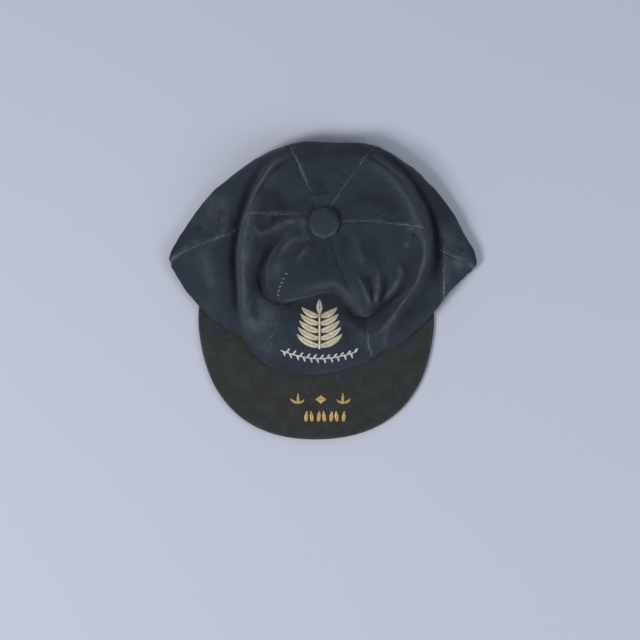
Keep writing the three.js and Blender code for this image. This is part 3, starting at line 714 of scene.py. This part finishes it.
def panel_piece(name, between):
    """One panel: the crown's surface between two seams, with its edges turned in, its small creases and its
    thickness, as a closed wall between an outer and an inner grid."""
    t = np.concatenate([k + np.arange(n) / n for k, n in enumerate(rows_between_knots)] + [[hem_t]])
    share = np.linspace(0, 1, panel_columns)
    share = share - edge_crowding * np.sin(2 * np.pi * share)
    a0, a1 = (along_seam(seams, seam, t) for seam in between)
    a1 = np.where(a1 < a0, a1 + 360, a1)
    radius = np.maximum(np.linalg.norm(seam_points(between[0], t)[:, :2] - axis, axis=1), panel_start)
    slit = np.degrees(seam_slit / radius)
    angles = (a0 + slit)[:, None] + (a1 - a0 - 2 * slit)[:, None] * share
    shape = angles.shape
    flat_t = np.repeat(t, panel_columns)
    grid = crown_points(angles.ravel(), flat_t).reshape(*shape, 3)
    normal = grid_normals(grid)
    points = grid.reshape(-1, 3)

    lines = [seam_points(seam, np.linspace(0, hem_t, 160)) for seam in between]
    (d0, run0, _), (d1, run1, _) = (distance_to_line(points, line) for line in lines)
    distance = np.minimum(d0, d1)
    run = np.where(d0 < d1, run0, run1 + 400)  # far apart, so that the two seams pucker differently
    rubbed_seam = np.where(d0 < d1, *(along_seam(seam_paleness, seam, flat_t) for seam in between))
    standing = 0.4 + 0.6 * smooth_step(rubbed_seam, 0.05, 0.3)
    turned = -seam_depth * standing * bell(distance, seam_width)
    lifted = allowance_lift * standing * bell(distance - allowance_place, allowance_width)
    along = run[:, None]
    pucker = 0.45 * soft_noise(along, 4.5, 7) * bell(distance, 4.5)
    slack = layered_noise(points, slack_layers) * smooth_step(distance, 0.5, 6)
    on_top = flat_t < edge_t
    ragged = 1 + 0.45 * soft_noise(points, 1.1, 23)
    eaten, dent = np.zeros(len(points)), np.zeros(len(points))
    for x, y, size, depth in nibbles:
        away = np.hypot(points[:, 0] - x, points[:, 1] - y)
        bowl = bell(away * ragged, size) * on_top
        dent -= depth * bowl
        eaten = np.maximum(eaten, bowl)
    offset = turned + lifted * (1 + pucker) + pucker + slack + dent
    outer = grid + normal * offset.reshape(shape)[:, :, None]
    outer[:, :, 2] = np.maximum(outer[:, :, 2], grid[:, :, 2].clip(max=0.02))

    _, crest, valley = fold_height(points[:, 0], points[:, 1])
    blotches = blotch_level + layered_noise(points, blotch_layers)
    # Painted light and shade of the folds, with wear on the ridge: ridge paleness, outer wall shade, groove
    # light, and the lobe's highlight and crease shade.
    ridge, reach, crest_t, wall, groove, lobed = around(fold_wear_and_light, angles.ravel()).T.clip(0)
    past_crest = flat_t - crest_t
    ridge_wear_and_highlight = ridge * bell(past_crest, np.where(past_crest < 0, reach, 0.2))
    past_groove = flat_t - groove_t
    wall_shade = wall * smooth_step(past_crest, 0.05, 0.3) * (1 - smooth_step(past_groove, -0.2, 0.05))
    groove_light = groove * bell(past_groove, 0.4)
    lobe_edge_highlight = lobed * bell(flat_t - lobe_edge_t, 0.16)
    crease_shade = lobed * bell(flat_t - crease_t, 0.3)
    # Paleness from wear and painted highlight on the ridge and fold crests, painted highlight on the lobe's
    # edge, and painted light lifting the groove.
    wear_and_highlight = np.clip((blotches * (ridge_wear_and_highlight + 0.3 * lobe_edge_highlight + 0.75 * crest) + 0.75 * groove_light) * on_top, 0, 1)
    wear_and_highlight = np.maximum(wear_and_highlight, patch_strength(points, faded_and_lit_patches) * blotches * on_top)
    # The fold valleys and these patches are painted darker as shade.
    valley = np.maximum(valley, patch_strength(points, painted_shade_patches) * blotches)
    patchy = 0.6 + 0.55 * soft_noise(along, 6, 21) + 0.4 * soft_noise(points, 2.2, 24)
    rub_width = 0.8 + 0.5 * smooth_step(flat_t, 3.6, 5)
    wear_and_highlight = np.maximum(wear_and_highlight, 1.5 * rubbed_seam * patchy * bell(distance - 0.6, rub_width))
    # Painted shade on the crown's top, from the lobe's crease, the fold valleys and the ridge's outer wall.
    painted_shade = np.clip((0.65 * crease_shade + 0.75 * valley + 0.8 * wall_shade) * on_top, 0, 1)
    inner = outer - grid_normals(blurred(grid, 2)) * cloth_thickness
    piece = new_piece(
        "crown_" + name, [outer, inner], wall_faces(*shape), wool,
        {"wear_and_highlight": wear_and_highlight, "nibbled": eaten, "painted_shade": painted_shade},
    )
    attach(piece, "root")
    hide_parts("crown_panel_" + name)


for name, between in panels.items():
    panel_piece(name, between)


def crown_top(x, y):
    """Height of the crown's outside over a point, found by halving the section parameter's range."""
    angles = np.degrees(np.arctan2(y - axis[1], x - axis[0]))
    radius = np.hypot(x - axis[0], y - axis[1])
    low, high = np.zeros_like(radius), np.full_like(radius, edge_t)
    for _ in range(24):
        middle = (low + high) / 2
        found = smooth_crown(angles, middle)
        inside = np.hypot(found[:, 0] - axis[0], found[:, 1] - axis[1]) < radius
        low, high = np.where(inside, middle, low), np.where(inside, high, middle)
    return crown_points(angles, low)[:, 2]


# Seam thread: the panels are sewn with a grey thread that shows as short worn stitches down in each seam.
stitch_pitch = 2.7
stitch_length = 2
stitch_radius = 0.22
stitch_sides = 6
thread_soiled = (0.016, 0.021, 0.03, 1)
thread_grey = (0.22, 0.24, 0.26, 1)

thread, tree, shader = new_material("worn seam thread", {"Roughness": 0.8, "Sheen Weight": 0.2})
place = add_node(tree, "ShaderNodeTexCoord").outputs["Object"]
twist = noise(tree, place, 2600, 2)
bright = weighted(tree, (attribute(tree, "bright"), ramp(tree, twist, 0.3, 0.7, 0.6, 1.1)))
tree.links.new(layered_colour(tree, thread_soiled, (bright, thread_grey)), shader.inputs["Base Color"])
tree.links.new(bump(tree, twist, 0.0003), shader.inputs["Normal"])


def tube_faces(rings, sides, start=0):
    """Faces of a closed tube with its points numbered from start: its rings joined, a face at each end."""
    i, j = np.meshgrid(np.arange(rings - 1), np.arange(sides), indexing="ij")
    a, b = ((i * sides + (j + step) % sides).ravel() + start for step in (0, 1))
    ring_ends = (np.arange(sides) + start, start + rings * sides - 1 - np.arange(sides))
    return [face.tolist() for face in (*np.stack([a, a + sides, b + sides, b], 1), *ring_ends)]


def stitches(name, starts, ends, radius, lift_height, bright):
    """Short thick threads between pairs of points, bowed up in the middle, with their ends in the cloth."""
    rings = 7
    s = np.linspace(0, 1, rings)
    centre = starts[:, None] + (ends - starts)[:, None] * s[:, None]
    centre[:, :, 2] += lift_height * np.sin(np.pi * s) - 0.35 * lift_height
    size = radius * np.sqrt(np.maximum(1 - (2 * s - 1) ** 6, 0.05))
    heading = unit(ends - starts)
    side = unit(np.cross(heading, [0, 0, 1]))
    up = np.cross(side, heading)
    turn = np.linspace(0, 2 * np.pi, stitch_sides, endpoint=False)
    circle = np.cos(turn)[:, None] * side[:, None] + np.sin(turn)[:, None] * up[:, None]
    points = centre[:, :, None] + circle[:, None] * size[:, None, None]
    count = rings * stitch_sides
    faces = [face for k in range(len(starts)) for face in tube_faces(rings, stitch_sides, k * count)]
    piece = new_piece(name, points, faces, thread, {"bright": np.repeat(bright, count)})
    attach(piece, "root")
    return piece


chance = np.random.default_rng(5)
starts, ends, shine = [], [], []
for number, seam in enumerate(seams):
    t = np.linspace(0.75, hem_top_t, 1200)
    line = seam_points(seam, t)
    length = run_length(line)
    at = np.arange(1, length[-1] - 1.5 * stitch_length, stitch_pitch)
    at = at + 0.3 * chance.uniform(-1, 1, len(at))
    long = stitch_length * chance.uniform(0.7, 1.15, len(at))
    start, end = (
        np.stack([np.interp(at + shift, length, line[:, i]) for i in range(3)], 1)
        + np.pad(chance.uniform(-0.2, 0.2, (len(at), 2)), ((0, 0), (0, 1)))
        for shift in (0, long)
    )
    starts.append(start)
    ends.append(end)
    level = along_seam(seam_paleness, seam, np.interp(at, length, t))
    uneven = 1 + layered_noise(at[:, None], ((0.9, 14, 30 + number), (0.8, 3, 40 + number)))
    shine.append(np.clip(level * uneven, 0.03, 1))
seam_thread = stitches(
    "seam_thread", np.concatenate(starts), np.concatenate(ends), stitch_radius, 0.25, np.concatenate(shine)
)

# A mend: the front left seam was sewn up again by hand with six stitches of thick white thread over it.
mend_distance = np.array([50, 54.5, 57.8, 61.2, 64.4, 67.6])  # from the button's axis
t = np.linspace(0.3, 2, 400)
line = seam_points("front_left", t)
mend_t = np.interp(mend_distance, np.linalg.norm(line[:, :2] - axis, axis=1), t)
mend_line = seam_points("front_left", mend_t) + [0, 0, 0.3]
mend_cross = np.array([1, 0.3, 0])
mend = stitches(
    "mending_stitches", mend_line - mend_cross, mend_line + mend_cross, 0.5, 0.45,
    [0.8, 0.5, 0.75, 0.9, 0.8, 0.7],
)

# A loose pale thread that runs down the pressed inner edge of the right wing, held by a few long stitches.
loose_x = np.array([95.6, 95.9, 96.2, 96.4, 96.3, 96.6, 96.8])
loose_y = np.array([17.5, 12.8, 9, 4.6, 0.4, -4, -7])
loose_line = np.stack([loose_x, loose_y, crown_top(loose_x, loose_y) + 0.35], 1)
loose = stitches(
    "loose_thread", loose_line[:-1], loose_line[1:] + [0, 0.4, 0], 0.32, 0.3,
    [0.35, 0.45, 0.6, 1, 0.9, 0.5],
)

# The button: a wooden or card disc covered with the crown's wool. The cover is gathered under the rim into
# small pleats, and it is paler round the front of its lower edge.
button_radius = 12.2
button_seat = 36.1
button_rise = 4.2
button_pleats = 17

turn = np.linspace(0, 2 * np.pi, 160, endpoint=False)
button_profile = np.array([
    [0.01, 1], [2.5, 0.995], [5, 0.97], [7.2, 0.9], [8.9, 0.78], [10.2, 0.6], [11, 0.4], [11.3, 0.2],
    [11.1, 0.04], [10.4, -0.06], [8.5, -0.1], [5, -0.12], [3, -0.12], [2.9, -0.6], [0.01, -0.6],
])
s = np.linspace(0, len(button_profile) - 1, 90)
profile = through_knots(np.repeat(button_profile[None], len(s), 0), s)
distance = np.maximum(profile[:, 0], 0.01)[:, None] * (button_radius / button_profile[:, 0].max())
height = profile[:, 1][:, None]
rim = smooth_step(distance, 7.5, 11) * smooth_step(height, -0.3, 0.1)
pleat = np.cos(button_pleats * turn + 0.8 * np.sin(3 * turn))
corner = 0.22 * np.cos(8 * turn + 0.4) * smooth_step(distance, 6, 11)
radius = distance * (1 + 0.012 * pleat * rim) + corner
level = button_seat + button_rise * height + 0.12 * pleat * rim * (height > -0.4)
points = np.stack([*polar(axis, radius, turn), level], axis=2)
points[:, :, 2] += 0.14 * soft_noise(points, 4, 51) * (height > 0)
lower_edge = bell(distance - 10.6, 1) * smooth_step(-np.sin(turn), -0.3, 0.9)
button_marks = {"wear_and_highlight": np.clip(0.6 * lower_edge + 0.12, 0, 1), "nibbled": [], "painted_shade": []}
button = new_piece("button_cover", points, tube_faces(*points.shape[:2]), wool, button_marks)
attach(button, "root")
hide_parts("button")

# The peak: a crescent of stiff board covered on both sides with a near-black ribbed pile cloth, its outer
# edge turned and pressed round. It lies under the hem in front and ends in two horns beside the head opening.
peak_edge_round = 1.6
peak_steps = 300
rib_pitch = 0.0019  # in metres, as all that a material reads
peak_dark = (0.0065, 0.0075, 0.0075, 1)
peak_pale = (0.02, 0.023, 0.023, 1)
peak_rubbed = (0.04, 0.044, 0.045, 1)
peak_lint = (0.2, 0.2, 0.19, 1)

peak_cloth, tree, shader = new_material("ribbed peak cloth", {
    "Roughness": 0.85, "Specular IOR Level": 0.3,
    "Sheen Weight": 0.3, "Sheen Roughness": 0.35, "Sheen Tint": (0.75, 0.8, 0.78, 1),
})
place = add_node(tree, "ShaderNodeTexCoord").outputs["Object"]
nap = place_group(tree, nap_group, {"Place": place, "Fibres": 1900})
fading = place_group(tree, fading_group, {"Place": place, "Patches": 110})
lint = place_group(tree, lint_group, {"Place": place, "Amount": 0.03})
axes = add_node(tree, "ShaderNodeSeparateXYZ", {}, {"Vector": place})
sway = maths(tree, "MULTIPLY", noise(tree, place, 60, 2), 0.0012)
rib_phase = maths(tree, "MULTIPLY", maths(tree, "ADD", axes.outputs["Y"], sway), 2 * math.pi / rib_pitch)
rib = ramp(tree, maths(tree, "SINE", rib_phase), -1, 1)
long_place = add_node(tree, "ShaderNodeMapping", {}, {"Vector": place, "Scale": (40, 500, 40)})
rib_break = noise(tree, long_place.outputs["Vector"], 1, 2)
rib_tone = maths(tree, "MULTIPLY", rib, ramp(tree, rib_break, 0.35, 0.65))
peak_tone = weighted(tree, (rib_tone, 0.3), (nap["Tone"], 0.25), (fading["Mask"], 0.6))
peak_colour = layered_colour(
    tree, peak_dark, (peak_tone, peak_pale),
    (attribute(tree, "wear_and_highlight"), peak_rubbed), (lint["Mask"], peak_lint),
)
tree.links.new(peak_colour, shader.inputs["Base Color"])
relief = weighted(tree, (rib_tone, 0.6), (nap["Height"], 0.4))
tree.links.new(bump(tree, relief, 0.0006, 0.8), shader.inputs["Normal"])

angles = np.radians(np.linspace(180 + horn_angle, 360 - horn_angle, peak_steps))
inner = np.full(peak_steps, ring[2] - peak_undercut)
outer = peak_outer(angles)
edge = np.minimum(peak_edge_round, (outer - inner) * 0.3)
inner, outer, edge = inner[:, None], outer[:, None], edge[:, None]
top_share = np.linspace(0, 1, 44)
bend = np.linspace(np.pi / 2, -np.pi / 2, 12)[1:-1]
under_share = np.linspace(1, 0, 26)
on_top, below = (inner + (outer - edge - inner) * share for share in (top_share, under_share))
distance = np.concatenate([on_top, outer - edge + edge * np.cos(bend), below], axis=1)
level = np.concatenate([np.ones_like(top_share), 0.5 + 0.5 * np.sin(bend), np.zeros_like(under_share)])
x, y = polar(ring, distance, angles[:, None])
z = peak_under(x) + level * peak_depth(x, y)
uneven = layered_noise(np.stack([x, y], 2), ((0.35, 26, 61), (0.1, 7, 62))) * level
to_edge = outer - distance
turned_edge = -0.3 * bell(to_edge - 4.2, 0.7) * level
rubbed = 0.7 * bell(to_edge, 1.6) * (0.6 + 0.4 * soft_noise(np.stack([x, y, z], 2), 6, 63))
z = np.maximum(z + uneven * smooth_step(to_edge, 0, 6) + turned_edge, 0.03)
faces = [face[:1] + face[:0:-1] for face in tube_faces(*z.shape)]  # the rings run the other way here
peak = new_piece("peak_cover", np.stack([x, y, z], 2), faces, peak_cloth, {"wear_and_highlight": rubbed})
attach(peak, "root")
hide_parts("peak")

# Embroidery: satin stitch over padding. Threads lie side by side across each strip, slanting up from the
# cloth at its edges to a crest along its middle.
thread_pitch = 0.9
thread_relief = 0.24
lift = 0.45  # the strip's edge over the cloth's mean surface


def thread_material(name, deep, pale, metal, roughness):
    """Twisted thread: painted highlight on top of the threads and painted shade between them, with a fine
    twist in its bump.
    """
    sheen = 0.1 if metal == 0 else 0
    values = {"Metallic": metal, "Roughness": roughness, "Sheen Weight": sheen}
    made, tree, shader = new_material(name, values)
    place = add_node(tree, "ShaderNodeTexCoord").outputs["Object"]
    fibre = place_group(tree, nap_group, {"Place": place, "Fibres": 3200})
    soil = place_group(tree, fading_group, {"Place": place, "Patches": 140})
    shade = maths(tree, "MULTIPLY", attribute(tree, "crest"), ramp(tree, fibre["Tone"], 0, 1, 0.7, 1))
    shade = weighted(tree, (shade, ramp(tree, soil["Mask"], 0, 1, 0.6, 1.05)))
    tree.links.new(layered_colour(tree, deep, (shade, pale)), shader.inputs["Base Color"])
    tree.links.new(bump(tree, fibre["Height"], 0.00025, 0.6), shader.inputs["Normal"])
    return made


# Each thread: its name, its painted shade colour between the threads, its painted highlight colour on top,
# metal and roughness.
threads = {
    slot: thread_material(*look) for slot, look in {
        "cream_thread": ("cream thread", (0.16, 0.13, 0.08, 1), (0.74, 0.7, 0.56, 1), 0, 0.55),
        "white_thread": ("white thread", (0.14, 0.14, 0.14, 1), (0.66, 0.66, 0.63, 1), 0, 0.6),
        "gold_thread": ("gold wire thread", (0.16, 0.09, 0.02, 1), (0.86, 0.64, 0.26, 1), 0.6, 0.4),
    }.items()
}


def satin_strip(stations, surface, pad, slant, vein=0):
    """One strip of satin stitch. stations are rows of x, y and half width along its middle line. Across it
    the height is pad × (1 - v²) to the power 0.6, less a narrow vein in the middle, plus a cosine ridge for
    each thread. Returns its points, its faces and how near each point is to a thread's crest, which the
    thread's material paints as highlight, with painted shade between the threads, towards the strip's edges
    and in its vein."""
    length = run_length(stations[:, :2])
    steps = max(int(length[-1] / thread_pitch * 5), 12)
    at = np.linspace(0, length[-1], steps)
    x, y, half = (np.interp(at, length, stations[:, i]) for i in range(3))
    dx, dy = np.gradient(x), np.gradient(y)
    norm = np.hypot(dx, dy)
    v = np.linspace(-1, 1, 13)
    px = x[:, None] - (dy / norm * half)[:, None] * v
    py = y[:, None] + (dx / norm * half)[:, None] * v
    phase = 2 * np.pi * (at[:, None] - slant * np.abs(v) * half[:, None]) / thread_pitch
    crown_shape = np.maximum(1 - v**2, 0) ** 0.6 * (1 - vein * bell(v, 0.16))
    ridge = 0.5 + 0.5 * np.cos(phase)
    height = crown_shape * pad * np.minimum(half / 1.2, 1)[:, None]
    height = height + thread_relief * ridge * (0.4 + 0.6 * crown_shape)
    ground = surface(px.ravel(), py.ravel()).reshape(px.shape)
    top = np.stack([px, py, ground + lift + height], 2)
    low = np.stack([px, py, ground - 0.5], 2)
    ply = 1 + 0.35 * soft_noise(np.stack([px, py], 2), 1.6, 71)
    # Painted highlight on each thread's crest and along the strip's middle, painted shade between the
    # threads, towards the edges and in the vein.
    crest = (0.15 + 0.85 * ridge) * (0.45 + 0.55 * crown_shape) * (1 - 0.7 * bell(v, 0.2) * (vein > 0))
    crest = np.clip(crest * ply, 0, 1)
    points = np.concatenate([top.reshape(-1, 3), low.reshape(-1, 3)])
    faces = wall_faces(steps, len(v))[:, ::-1]
    return points, faces, np.concatenate([crest.ravel(), np.zeros(crest.size)])


def embroidered(node, strips, kind):
    """One piece of embroidery from its strips, in this kind of thread, in place of its CAD node."""
    points, faces, crest = zip(*strips)
    starts = np.cumsum([0, *map(len, points)])
    faces = np.concatenate([strip + start for strip, start in zip(faces, starts)])
    crest = np.concatenate(crest)
    piece = new_piece(node + "_stitching", np.concatenate(points), faces, threads[kind], {"crest": crest})
    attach(piece, "root")
    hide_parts(node)


def leaf(x, y, angle, length, width, turning=0):
    """Stations of a leaf: its middle line starts at x, y under this angle and turns steadily, and its half
    width rises and falls as a sine that is fullest before the middle."""
    s = np.linspace(0, 1, 30)
    heading = np.radians(angle + turning * s[:-1])
    step = length / len(heading)
    px, py = (
        start + step * np.concatenate([[0], np.cumsum(part)])
        for start, part in ((x, np.cos(heading)), (y, np.sin(heading)))
    )
    half = 0.35 + (width / 2 - 0.35) * np.maximum(np.sin(np.pi * (0.12 + 0.88 * s**0.9)), 0) ** 0.8
    return np.stack([px, py, half], 1)


# The emblem on the front panel: a cream spray, a stem with five pairs of leaves and one more at its top.
emblem_x = -3.2
emblem_bottom = -46.6
emblem_top = -15
emblem_pad = 1.2
stem_y = np.linspace(emblem_bottom, emblem_top, 9)
stem = np.stack([np.full(9, emblem_x), stem_y, np.full(9, 0.9)], 1)
leaves = [leaf(emblem_x, emblem_top - 3, 90, 11, 5)]
for share in np.linspace(0, 1, 5):
    y = emblem_bottom + 2.5 + share * (emblem_top - emblem_bottom - 8)
    length = 19.5 - 4.5 * share
    leaves.append(leaf(emblem_x + 1.2, y, 8, length, 5.2, 44))
    leaves.append(leaf(emblem_x - 1.2, y, 172, length, 5.2, -44))
strips = [satin_strip(row, crown_top, emblem_pad, 0.9, 0.75) for row in leaves]
strips.append(satin_strip(stem, crown_top, emblem_pad, 0.5))
embroidered("emblem_spray", strips, "cream_thread")

# The border under it: a thin white stem on an arc that sags in the middle, with small leaves slanting up from
# it and down from it by turns.
s = np.linspace(0, 1, 120)
border = np.stack([-34 + 61 * s, -47.8 - 0.8 * s - 6.2 * np.sin(np.pi * s) ** 0.9, np.full(120, 0.55)], 1)
strips = [satin_strip(border, crown_top, 0.6, 0.2)]
for number, at in enumerate(np.linspace(4, 115, 22).astype(int)):
    x, y, _ = border[at]
    strips.append(satin_strip(leaf(x, y, 62 if number % 2 else -62, 4, 1.9, -20), crown_top, 0.8, 0.5))
embroidered("emblem_border", strips, "white_thread")

# Gold on the peak, wire thread laid over padding: a lozenge between two sprays, and a row of grains.
gold_pad = 0.9
for side, x, node in ((-1, -20.4, "peak_spray_left"), (1, 15.6, "peak_spray_right")):
    rows = [
        leaf(x, -90, 90 - 90 * side, 7.4, 2.6, side * 60),
        leaf(x, -91, 90, 8.8, 2.8),
        leaf(x, -90, 90 + 90 * side, 6, 2.4, -side * 60),
    ]
    embroidered(node, [satin_strip(row, peak_top, gold_pad, 0.6, 0.6) for row in rows], "gold_thread")
s = np.linspace(0, 1, 60)
lozenge = np.stack([-2 + 8.4 * (s - 0.5), np.full(60, -87.4), 0.4 + 3.6 * (1 - np.abs(2 * s - 1))], 1)
embroidered("peak_lozenge", [satin_strip(lozenge, peak_top, gold_pad, 0.6, 0.6)], "gold_thread")
places = enumerate(np.linspace(-14.2, 16, 7))
grains = [leaf(x, -105.2, 84 + 12 * (number % 2), 8.6, 3.6) for number, x in places]
embroidered("peak_bar", [satin_strip(row, peak_top, gold_pad, 0.3, 0.5) for row in grains], "gold_thread")
